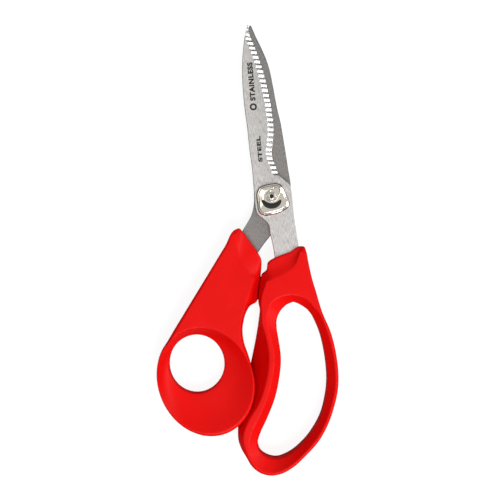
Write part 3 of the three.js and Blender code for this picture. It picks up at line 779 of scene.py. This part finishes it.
# outline x, y; rim x, y; direction of the crest from the middle of the disc; rim z; outline z
thumb_neck = np.array([
    (-11.3, -76.0, -12.0, -76.3, 32, 11.7, 10.6), (-13.2, -70.4, -14.2, -70.6, 45, 11.7, 10.2),
    (-13.9, -64.0, -14.8, -64.3, 54, 11.7, 9.5), (-13.4, -60.0, -14.5, -60.5, 60, 11.7, 8.5),
    (-12.3, -56.0, -13.3, -55.8, 65, 11.6, 7.5), (-10.3, -52.6, -12.2, -52.2, 68, 11.6, 6.5),
    (-7.2, -50.6, -11.4, -49.3, 71, 11.5, 5.6), (-6.2, -44.2, -10.2, -44.8, 74, 11.4, 5.4),
    (-5.1, -37.3, -8.5, -39.1, 77, 11.2, 5.6), (-4.8, -33.5, -10.3, -38.0, 79, 11.2, 6.6),
    (-4.9, -30.2, -12.6, -35.6, 81, 11.2, 7.4), (-6.3, -27.3, -14.4, -32.4, 84, 11.1, 7.8),
    (-10.0, -22.2, -16.1, -27.5, 88, 11.0, 7.8), (-13.7, -17.1, -16.5, -21.4, 92, 11.0, 8.0),
    (-15.6, -15.3, -16.6, -17.8, 95, 11.0, 8.8), (-17.3, -15.9, -17.6, -18.0, 98, 11.0, 9.8),
    (-22.2, -23.8, -21.3, -24.4, 102, 11.1, 10.4), (-31.0, -38.3, -30.1, -38.9, 107, 11.4, 10.6),
    (-40.0, -53.1, -39.1, -53.7, 114, 11.6, 10.6), (-46.0, -63.0, -45.1, -63.6, 122, 11.7, 10.7),
    (-49.6, -69.1, -48.8, -69.5, 132, 11.7, 10.8)])
finger_left = np.array([
    (-5.6, -53.9), (-6, -58.7), (-7.4, -67.8), (-9.4, -78), (-11.9, -89), (-14.4, -100),
    (-16.1, -111), (-16.4, -113.5)])
wall_line = np.array([
    (-5.5, -53.9), (-5.4, -56), (-3.4, -64.8), (-1.8, -70.9), (-1.2, -78.5), (-2.2, -87.2),
    (-5, -96.8), (-8.9, -103.5), (-12.7, -109.7), (-17, -113.5)])


def thumb_disc(directions):
    """Rows of the same seven columns, where the outline and the crest are tilted ovals."""
    outline = oval(*THUMB_SIDE, directions)
    rim = towards(oval(*THUMB_CREST, directions), outline, THUMB_RIM_SHARE)
    heights = np.broadcast_to(THUMB_RIM_Z, (len(directions), 2))
    return np.column_stack([outline, rim, directions, heights])


def wall_x(y, below_top):
    """The finger handle's left side at heights y and depths below the top face: it leans out from
    the wall line until it meets the outline. The wall line itself comes second."""
    wall = np.interp(y, wall_line[::-1, 1], wall_line[::-1, 0], left=-OUTSIDE, right=OUTSIDE)
    side = np.interp(y, finger_left[::-1, 1], finger_left[::-1, 0], left=-OUTSIDE, right=OUTSIDE)
    return np.maximum(wall - WALL_LEAN * below_top, side), wall


def free_share(hole, outline):
    """How far from hole to outline each line runs before the finger handle's foot stops it."""
    share = np.linspace(0, 1, SHARE_STEPS)
    x = hole[:, None, 0] + (outline - hole)[:, None, 0] * share
    y = hole[:, None, 1] + (outline - hole)[:, None, 1] * share
    foot, _ = wall_x(y, HANDLE_TOP - BASE_Z)
    free = np.minimum.accumulate(x < foot - NEST_GAP, axis=1)
    return share[free.sum(axis=1) - 1]


def leaning_height(plan):
    """The height at which the leaning wall, moved out by the nesting gap, passes a plan point."""
    _, wall = wall_x(plan[:, 1], 0)
    return HANDLE_TOP - np.clip(wall - NEST_GAP - plan[:, 0], 0, 60) / WALL_LEAN


def thumb_handle():
    """Stations round the hole are joined by a closed smooth curve in all columns at once; the
    direction is kept as cosine and sine so that it can close."""
    knots = np.concatenate([thumb_neck, thumb_disc(DISC_DIRECTIONS)])
    turn = np.radians(knots[:, 4])
    knots = np.column_stack([knots[:, :4], np.cos(turn), np.sin(turn), knots[:, 5:]])
    row = spline(knots, LOFT_ROWS, closed=True)
    direction = np.degrees(np.arctan2(row[:, 5], row[:, 4]))
    outline, rim = row[:, 0:2], row[:, 2:4]
    hole, crest = oval(*THUMB_HOLE, direction), oval(*THUMB_CREST, direction)
    reach = free_share(hole, outline)
    length = np.linalg.norm(outline - hole, axis=1)
    raised = np.clip((1 - reach) * length / UNDER_MARGIN, 0, 1)
    plain = 1 - WALL_MARGIN / length
    riser = towards(hole, outline, np.minimum(reach, plain))
    clear = BASE_Z + EDGE_RISE
    under = clear + raised * np.clip(leaning_height(outline) - clear, 0, RAISE_MOST)
    riser_z = BASE_Z + raised * np.clip(leaning_height(riser) - BASE_Z, 0, RAISE_MOST)
    rim_z, outline_z = row[:, 6], row[:, 7]
    hollow = np.clip((rim_z - outline_z - HOLLOW_FROM) / HOLLOW_RAMP, 0, 1) * HOLLOW_DEPTH
    foot_z = (rim_z + outline_z) / 2 - hollow
    plan = dict(outline=outline, rim=rim, foot=towards(rim, outline, 0.5), crest=crest, hole=hole,
                riser=riser)
    z = dict(hole=DISH_FOOT_Z, dish_share=DISH_SHARE, rim=rim_z, foot=foot_z, under=under,
             outline=np.maximum(outline_z, under + UNDER_MARGIN), riser=riser_z)
    return ring_handle("thumb_handle_moulding", plan, z, red_plastic)


thumb = thumb_handle()
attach(thumb, "thumb_half")
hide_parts("thumb_handle")

# %% [markdown]
# ## The finger handle
# Four fingers pull on the long loop, and its broad top holds the front blade's tang. No part of it
# is a plain oval, so all its stations are measured, closer together where the collar turns. Its
# left side leans far out below the thumb disc, and low down beside the other collar a thin lip
# closes the slit between the two. The wall could be a piece of its own, but it is one moulding.

# %% Finger handle
FINGER_FOOT_Z = 8.0
FINGER_DISH_SHARE = 0.5
UNDERCUT = 1.5
LIP_TOP = -37.6
LIP_END = -51.0
LIP_FADE = 1.5
LIP_WIDTH = 0.95
LIP_THICK = 0.6

# outline x, y; rim x, y; crest x, y; hole x, y; rim z; outline z; share of the way down at the foot
finger_ring = np.array([
    (15.8, -24.2, 13.6, -26.5, 15.5, -48.4, 15.0, -52.6, 11.2, 9.6, 0.5),
    (13.4, -23.9, 12.9, -28.5, 13.8, -47.7, 13.2, -51.6, 11.2, 9.2, 0.7),
    (9.1, -26.4, 11.3, -32.8, 11.0, -47.2, 11.2, -50.8, 11.3, 9.0, 0.8),
    (1.2, -29.6, 5.8, -37.2, 8.0, -47.1, 9.2, -51.0, 11.4, 9.0, 0.8),
    (-1.6, -31.6, 1.2, -39.3, 4.8, -47.7, 7.2, -51.9, 11.5, 8.6, 0.7),
    (-2.4, -35.3, -0.6, -40.2, 2.9, -48.6, 6.2, -52.8, 11.5, 8.4, 0.6),
    (-4.7, -37.5, -2.5, -41.0, 1.4, -49.3, 5.3, -53.6, 11.5, 6.4, 0.5),
    (-5.15, -39.4, -2.9, -42.1, 0.8, -49.9, 4.8, -54.2, 11.5, 5.9, 0.5),
    (-5.7, -42.3, -3.6, -43.8, 0.1, -50.8, 4.1, -55.1, 11.6, 5.4, 0.5),
    (-6.12, -45.1, -4.3, -45.7, -0.7, -51.7, 3.6, -56.0, 11.6, 5.6, 0.5),
    (-6.2, -48.0, -4.9, -48.2, -1.4, -52.9, 3.1, -57.0, 11.6, 6.2, 0.5),
    (-6.3, -50.6, -5.2, -50.8, -1.9, -54.2, 2.8, -57.9, 11.6, 7.0, 0.5),
    (-5.6, -54.4, -4.9, -54.6, -2.4, -57.2, 2.4, -60.0, 11.7, 9.5, 0.5),
    (-6.0, -58.7, -4.9, -59.0, -2.3, -60.6, 2.5, -63.0, 11.7, 7.6, 0.5),
    (-7.4, -67.8, -2.6, -67.5, -0.6, -67.5, 3.3, -68.0, 11.8, 2.6, 0.5),
    (-9.4, -78.0, -1.2, -77.0, 1.2, -77.0, 4.5, -77.0, 11.8, -1.0, 0.5),
    (-11.9, -89.0, -2.5, -88.2, 0.0, -87.4, 3.8, -86.5, 11.8, -1.6, 0.5),
    (-14.4, -100.0, -6.4, -99.5, -3.0, -98.4, 1.2, -98.0, 11.8, -0.4, 0.5),
    (-15.8, -107.0, -10.4, -106.0, -6.4, -106.2, -2.4, -107.0, 11.8, 3.2, 0.5),
    (-16.1, -112.5, -13.0, -112.0, -9.2, -112.0, -5.2, -113.0, 11.8, 6.6, 0.5),
    (-15.8, -116.9, -13.5, -116.5, -10.6, -116.6, -6.5, -117.2, 11.8, 8.4, 0.5),
    (-14.4, -120.8, -12.7, -120.4, -10.8, -120.4, -6.1, -120.6, 11.8, 9.0, 0.5),
    (-12.0, -124.7, -11.2, -124.4, -10.2, -124.2, -4.8, -122.8, 11.8, 10.4, 0.5),
    (-9.4, -128.9, -8.7, -128.2, -8.1, -127.5, -2.4, -124.4, 11.8, 10.9, 0.5),
    (-5.5, -132.0, -5.1, -131.2, -4.7, -130.5, 0.2, -125.3, 11.8, 10.9, 0.5),
    (-0.7, -133.3, -0.6, -132.5, -0.4, -131.8, 2.6, -125.5, 11.8, 10.9, 0.5),
    (4.6, -132.5, 4.3, -131.8, 4.1, -131.1, 5.4, -124.8, 11.8, 10.9, 0.5),
    (10.3, -129.4, 9.9, -128.7, 9.5, -128.1, 10.3, -122.2, 11.8, 10.9, 0.5),
    (16.1, -124.1, 15.6, -123.6, 15.0, -123.1, 16.1, -116.9, 11.8, 10.9, 0.5),
    (22.8, -116.5, 22.1, -116.1, 21.5, -115.6, 20.9, -110.2, 11.8, 10.9, 0.5),
    (26.6, -109.7, 25.9, -109.4, 25.2, -109.1, 23.3, -105.5, 11.8, 10.9, 0.5),
    (30.0, -100.1, 29.2, -99.9, 28.5, -99.7, 25.3, -98.9, 11.8, 10.9, 0.5),
    (31.7, -92.0, 30.9, -91.9, 30.2, -91.8, 26.5, -91.6, 11.8, 10.9, 0.5),
    (31.9, -84.3, 31.1, -84.3, 30.4, -84.3, 26.6, -84.8, 11.8, 10.9, 0.5),
    (31.3, -78.3, 30.5, -78.4, 29.8, -78.5, 26.0, -78.6, 11.8, 10.9, 0.5),
    (28.3, -65.1, 27.5, -65.4, 26.8, -65.6, 23.4, -66.1, 11.8, 10.9, 0.5),
    (24.0, -54.8, 23.2, -55.2, 23.0, -56.2, 20.2, -58.4, 11.8, 10.9, 0.5),
    (21.2, -45.5, 20.4, -45.8, 20.2, -52.9, 18.4, -55.6, 11.7, 10.8, 0.5),
    (19.4, -39.5, 18.6, -39.7, 18.6, -50.8, 17.2, -54.3, 11.6, 10.7, 0.5),
    (17.6, -31.5, 16.8, -31.7, 17.0, -49.4, 16.0, -53.3, 11.4, 10.4, 0.5),
    (16.5, -26.0, 15.6, -27.0, 16.1, -48.7, 15.4, -52.9, 11.2, 10.0, 0.5)])


def finger_handle():
    """The same ring loft, every station measured. On its left side the outline's own height drops,
    so that the wall leans out and the thumb disc nests over it."""
    row = spline(finger_ring, LOFT_ROWS, closed=True)
    outline, rim, crest, hole = (row[:, k:k + 2] for k in (0, 2, 4, 6))
    rim_z, outline_z, drop = row[:, 8], row[:, 9], row[:, 10]
    foot = towards(rim, outline, 0.5)
    foot_z = rim_z + (outline_z - rim_z) * drop
    length = np.linalg.norm(outline - hole, axis=1)
    below_start = np.clip((LIP_TOP - outline[:, 1]) / LIP_FADE, 0, 1)
    above_end = np.clip((outline[:, 1] - LIP_END) / LIP_FADE, 0, 1)
    lip = below_start * above_end * (outline[:, 0] < 0)
    riser = towards(outline, hole, (UNDERCUT - lip * (UNDERCUT + LIP_WIDTH)) / length)
    plan = dict(outline=outline, rim=rim, foot=foot, crest=crest, hole=hole, riser=riser)
    z = dict(hole=FINGER_FOOT_Z, dish_share=FINGER_DISH_SHARE, rim=rim_z, foot=foot_z,
             outline=outline_z, under=np.minimum(BASE_Z + EDGE_RISE, outline_z - 0.5),
             riser=BASE_Z + LIP_THICK * lip)
    return ring_handle("finger_handle_moulding", plan, z, red_plastic)


finger = finger_handle()
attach(finger, "finger_half")
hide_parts("finger_handle")

# %% [markdown]
# ## The pivot
# The pivot is a stepped bolt through both blades, held by a nut under a chromed cap. All its shapes
# are rings about the pivot axis, and on the cap and in the socket the radius changes with the
# angle. A Screw modifier can only turn a round profile, so one helper stacks such rings and makes
# the cap and the bolt alike.

# %% Rings about the pivot axis
TURN_STEPS = 192
TURN = np.linspace(0, 2 * np.pi, TURN_STEPS, endpoint=False)


def around(name, rings, material, hollow, sharp=35.0):
    """Rings (radius over the turn, height) stacked from the inside out and round; a hollow piece
    joins its last ring to its first, a solid one closes both ends with a fan to the axis."""
    radius = np.stack([np.broadcast_to(r, TURN.shape) for r, _ in rings])
    z = np.stack([np.broadcast_to(h, TURN.shape) for _, h in rings])
    points = np.stack([radius * np.cos(TURN), radius * np.sin(TURN), z], axis=-1).reshape(-1, 3)
    faces = [grid_faces(len(rings), TURN_STEPS, hollow, True)]
    if not hollow:
        j = np.arange(TURN_STEPS)
        after = (j + 1) % TURN_STEPS
        last = len(points) - TURN_STEPS
        low, high = np.full(TURN_STEPS, len(points)), np.full(TURN_STEPS, len(points) + 1)
        points = np.concatenate([points, [[0, 0, z[0, 0]], [0, 0, z[-1, 0]]]])
        faces += [np.stack([after, j, low], axis=-1),
                  np.stack([last + j, last + after, high], axis=-1)]
    return make_piece(name, points, faces, material, sharp=sharp)


# %% [markdown]
# ## The cap
# The cap is a die casting that has been polished and chromed. Its top has a stepped border, a
# gently domed middle and a shallow recess round the end of the bolt, which widens to the upper
# right. Each step is drawn as two or three rings close together, because a chrome edge shows up
# only as the thin line that a small rounding reflects. Bevelling a plain block would round every
# edge alike, and these differ.

# %% Chrome cap
_, cap_high = box_mm("pivot_cap")
CAP_HOLE = 1.95
CAVITY = 4.85
CAP_ROOF = 0.8
RECESS_TURN = math.radians(48)  # the direction in which the recess is widest
RECESS_RADIUS = 2.6
RECESS_SWELL = 2.5
RECESS_SPREAD = 36
PLATEAU_INSET = 1.85
PLATEAU_Z = 2.2
DOME = 0.33
cap_outline = spline([
    (-0.9, 6.1), (2.5, 6.4), (4.7, 5.4), (6.1, 3.4), (7.6, -0.3), (8.7, -3.7), (7.9, -5.6),
    (6, -7), (3, -8.3), (-0.3, -9.1), (-2.8, -9.4), (-4.9, -8.8), (-6.4, -7), (-6.9, -3.9),
    (-7.1, 2.1), (-6.1, 4.1), (-4, 5.3)], 720, closed=True)


def radius_over_turn(line):
    """The radius of a closed line at every angle of the turn."""
    angle = np.arctan2(line[:, 1], line[:, 0])
    order = np.argsort(angle)
    return np.interp(TURN, angle[order], np.hypot(line[order, 0], line[order, 1]),
                     period=2 * np.pi)


def chrome_cap():
    """From the hole under the roof to the cavity, out to the side, up, and back over the top. The
    recess has a radius + swell * exp(-(a/spread)^2), a being the degrees from where it is widest."""
    edge = radius_over_turn(cap_outline)
    off = np.degrees(np.angle(np.exp(1j * (TURN - RECESS_TURN))))
    recess = RECESS_RADIUS + RECESS_SWELL * np.exp(-(off / RECESS_SPREAD) ** 2)
    low, top = float(front_high[2]), float(cap_high[2])
    roof = top - CAP_ROOF
    under = [(CAP_HOLE, roof), (CAVITY, roof), (CAVITY, low), (edge, low)]

    # inset from the edge and height above the blade: side, lower step, border, upper step
    border = [(edge - inset, low + z) for inset, z in (
        (0.0, 1.1), (0.06, 1.2), (0.68, 1.74), (0.78, 1.79), (1.08, 1.8), (1.16, 1.85),
        (1.5, 2.14), (1.6, 2.18), (PLATEAU_INSET, PLATEAU_Z))]
    outer, inner = edge - PLATEAU_INSET, recess + 0.35
    dome = [(outer + (inner - outer) * f, low + PLATEAU_Z + DOME * f * (2 - f))
            for f in (0.2, 0.4, 0.6, 0.8, 1.0)]
    dish = [(recess + inset, low + z) for inset, z in (
        (0.18, 2.5), (0.0, 2.35), (-0.15, 2.1), (-0.35, 2.0))]
    floor = [((recess + CAP_HOLE) / 2, low + 1.98), (CAP_HOLE + 0.12, low + 1.98),
             (CAP_HOLE, low + 1.9)]
    return around("pivot_cap_casting", under + border + dome + dish + floor, chrome, hollow=True,
                  sharp=25.0)


cap = chrome_cap()
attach(cap, "finger_half")
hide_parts("pivot_cap")

# %% [markdown]
# ## The crescent
# A mark filled with black enamel is let into the cap. It is a plain crescent here. Enamel shrinks
# and creeps up its edges as it is baked, so the bow is slightly domed across. A flat curve given
# some thickness would be simpler, but it would have no doming to catch the light.

# %% Enamel crescent
BOW_RADIUS = 4.7
BOW_HALF_WIDTH = 1.35
BOW_ANGLES = (-160, -20)
BOW_RISE = 0.37
BOW_END = 0.985                 # the bow stops just short of its two points


def crescent(radius, half_width, angles, base, rise):
    """A bow of half width w = w0 sqrt(1 - t^2), t running -1 to 1 along an arc, domed on top."""
    t = np.linspace(-BOW_END, BOW_END, 60)
    u = np.linspace(-1, 1, 9)
    from_angle, to_angle = angles
    angle = np.radians(from_angle + (to_angle - from_angle) * (t + 1) / 2)[:, None]
    w = half_width * np.sqrt(1 - t**2)[:, None]
    r = radius + w * u
    top = base + rise * (1 + 0.3 * (1 - u**2))
    upper = np.stack([r * np.cos(angle), r * np.sin(angle), np.broadcast_to(top, r.shape)], axis=-1)
    lower = upper[:, ::-1].copy()
    lower[..., 2] = base
    return np.concatenate([upper, lower], axis=1)


inlay_low, _ = box_mm("cap_inlay")
bow = crescent(BOW_RADIUS, BOW_HALF_WIDTH, BOW_ANGLES, inlay_low[2], BOW_RISE)
inlay = loft_piece("cap_inlay_enamel", bow, black_enamel_and_shade, sharp=40.0)
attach(inlay, "finger_half")
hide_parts("cap_inlay")

# %% [markdown]
# ## The bolt, the nut and the washers
# The bolt is turned from bar, and its small end shows in the cap's recess with a hexagonal socket
# for the key that sets the blades' play. The faces far down in the socket take the black material:
# that is painted shade, standing in for the dark inside of the socket. A six-sided hole could be cut
# with a Boolean modifier, but letting a ring's radius follow the hexagon keeps the mesh clean. The
# nut and the washers are out of sight, so they keep their imported shapes and only get a finish.

# %% Pivot bolt
SOCKET_FLATS = 1.8
SOCKET_DEPTH = 1.2
SOCKET_REACH = 1.15             # faces nearer the axis than this are in the socket
HEAD_RADIUS, HEAD_TOP = 5.75, 1.6
SHAFT_RADIUS, SHAFT_TOP = 3.0, 7.15
THREAD_RADIUS = 1.7
SIXTH = math.pi / 3
_, bolt_high = box_mm("pivot_bolt")


def pivot_bolt():
    """Head, shaft, thread end and a hexagonal socket whose radius is f / 2 / cos(angle within 30
    degrees of a flat's middle)."""
    within = np.mod(TURN + SIXTH / 2, SIXTH) - SIXTH / 2
    hexagon = SOCKET_FLATS / 2 / np.cos(within)
    top = float(bolt_high[2])
    head = [(5.1, 0.0), (5.5, 0.12), (5.7, 0.4), (HEAD_RADIUS, 0.7), (HEAD_RADIUS, HEAD_TOP)]
    shaft = [(SHAFT_RADIUS, HEAD_TOP), (SHAFT_RADIUS, SHAFT_TOP), (THREAD_RADIUS, SHAFT_TOP)]
    end = [(THREAD_RADIUS, top - 0.35), (1.55, top - 0.12), (1.4, top - 0.05)]
    socket = [(hexagon + 0.1, top - 0.05), (hexagon, top - 0.12), (hexagon, top - SOCKET_DEPTH)]
    bolt = around("pivot_bolt_turned", head + shaft + end + socket, plated_steel, hollow=False,
                  sharp=30.0)
    # painted shade: the faces far down in the socket take the black material, standing in for the
    # dark inside of the socket
    bolt.data.materials.append(black_enamel_and_shade)
    centres = np.empty(3 * len(bolt.data.polygons))
    bolt.data.polygons.foreach_get("center", centres)
    centres = centres.reshape(-1, 3) / MM
    height, reach = centres[:, 2], np.hypot(centres[:, 0], centres[:, 1])
    socket_shade = (height > SHAFT_TOP + 1) & (height < top - 0.1) & (reach < SOCKET_REACH)
    bolt.data.polygons.foreach_set("material_index", socket_shade.astype(np.int32))
    return bolt


bolt = pivot_bolt()
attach(bolt, "thumb_half")
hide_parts("pivot_bolt")

# %% Nut and washers
HIDDEN = (("pivot_nut", plated_steel), ("spring_washer", plated_steel),
          ("friction_washer", white_nylon))
for node, material in HIDDEN:
    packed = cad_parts[node].data
    packed.materials.clear()
    packed.materials.append(material)
    print(f"{node}: {material.name}")

# %% [markdown]
# ## Lettering
# The blade carries a printed mark. Here it says only what the blade is made of. Each word is a
# text object turned to a mesh, laid along the blade and dropped point by point onto the ground
# face, so that it stays a few hundredths of a millimetre proud everywhere, as pad-printed ink is.
# Painting the words in the material would need a picture or a mask, and this needs neither.

# %% Lettering
INK_PROUD = 0.03
INK_SPREAD = 0.05               # how far the ink swells past the letters' outline
LETTER_SPACING = 1.12


def face_height(x, y):
    """The height of the front blade's face at points (x, y), away from the teeth."""
    left, right = side_at(front_left, y), side_at(front_right, y)
    return front_low[2] + ground_face(y, right - left, right - x)


def printed_word(name, word, start, end, height):
    """Text from start to end (mm), its capitals as tall as height, standing to the left."""
    curve = bpy.data.curves.new(name, "FONT")
    curve.body = word
    curve.extrude = 0.5
    curve.offset = INK_SPREAD
    curve.space_character = LETTER_SPACING
    text = bpy.data.objects.new(name, curve)
    bpy.context.scene.collection.objects.link(text)
    bpy.context.view_layer.update()
    solid = text.evaluated_get(bpy.context.evaluated_depsgraph_get())
    mesh = bpy.data.meshes.new_from_object(solid)
    bpy.data.objects.remove(text)
    flat = np.empty(len(mesh.vertices) * 3)
    mesh.vertices.foreach_get("co", flat)
    flat = flat.reshape(-1, 3)
    low, high = flat.min(axis=0), flat.max(axis=0)
    share = (flat - low) / (high - low)
    start, end = np.array(start), np.array(end)
    along = (end - start) / np.linalg.norm(end - start)
    up = np.array([-along[1], along[0]])
    plan = start + share[:, :1] * (end - start) + (share[:, 1:2] - 0.5) * height * up
    z = face_height(plan[:, 0], plan[:, 1]) + np.where(share[:, 2] > 0.5, INK_PROUD, -INK_PROUD)
    mesh.vertices.foreach_set("co", (np.column_stack([plan, z]) * MM).ravel())
    mesh.materials.clear()
    mesh.materials.append(black_enamel_and_shade)
    obj = bpy.data.objects.new(name, mesh)
    bpy.context.scene.collection.objects.link(obj)
    print(f"{name}: {len(mesh.vertices)} points, {np.linalg.norm(end - start):.1f} mm long")
    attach(obj, "finger_half")


# name, word, where it starts and ends, height of the capitals
PRINTS = (
    ("print_large", "STAINLESS", (-8.85, 45.8), (-10.5, 64.2), 2.6),
    ("print_small", "STEEL", (-5.2, 16.5), (-6.4, 28.8), 2.0),
    ("print_ring", "O", (-8.55, 41.2), (-8.85, 44.6), 3.4))
for mark in PRINTS:
    printed_word(*mark)
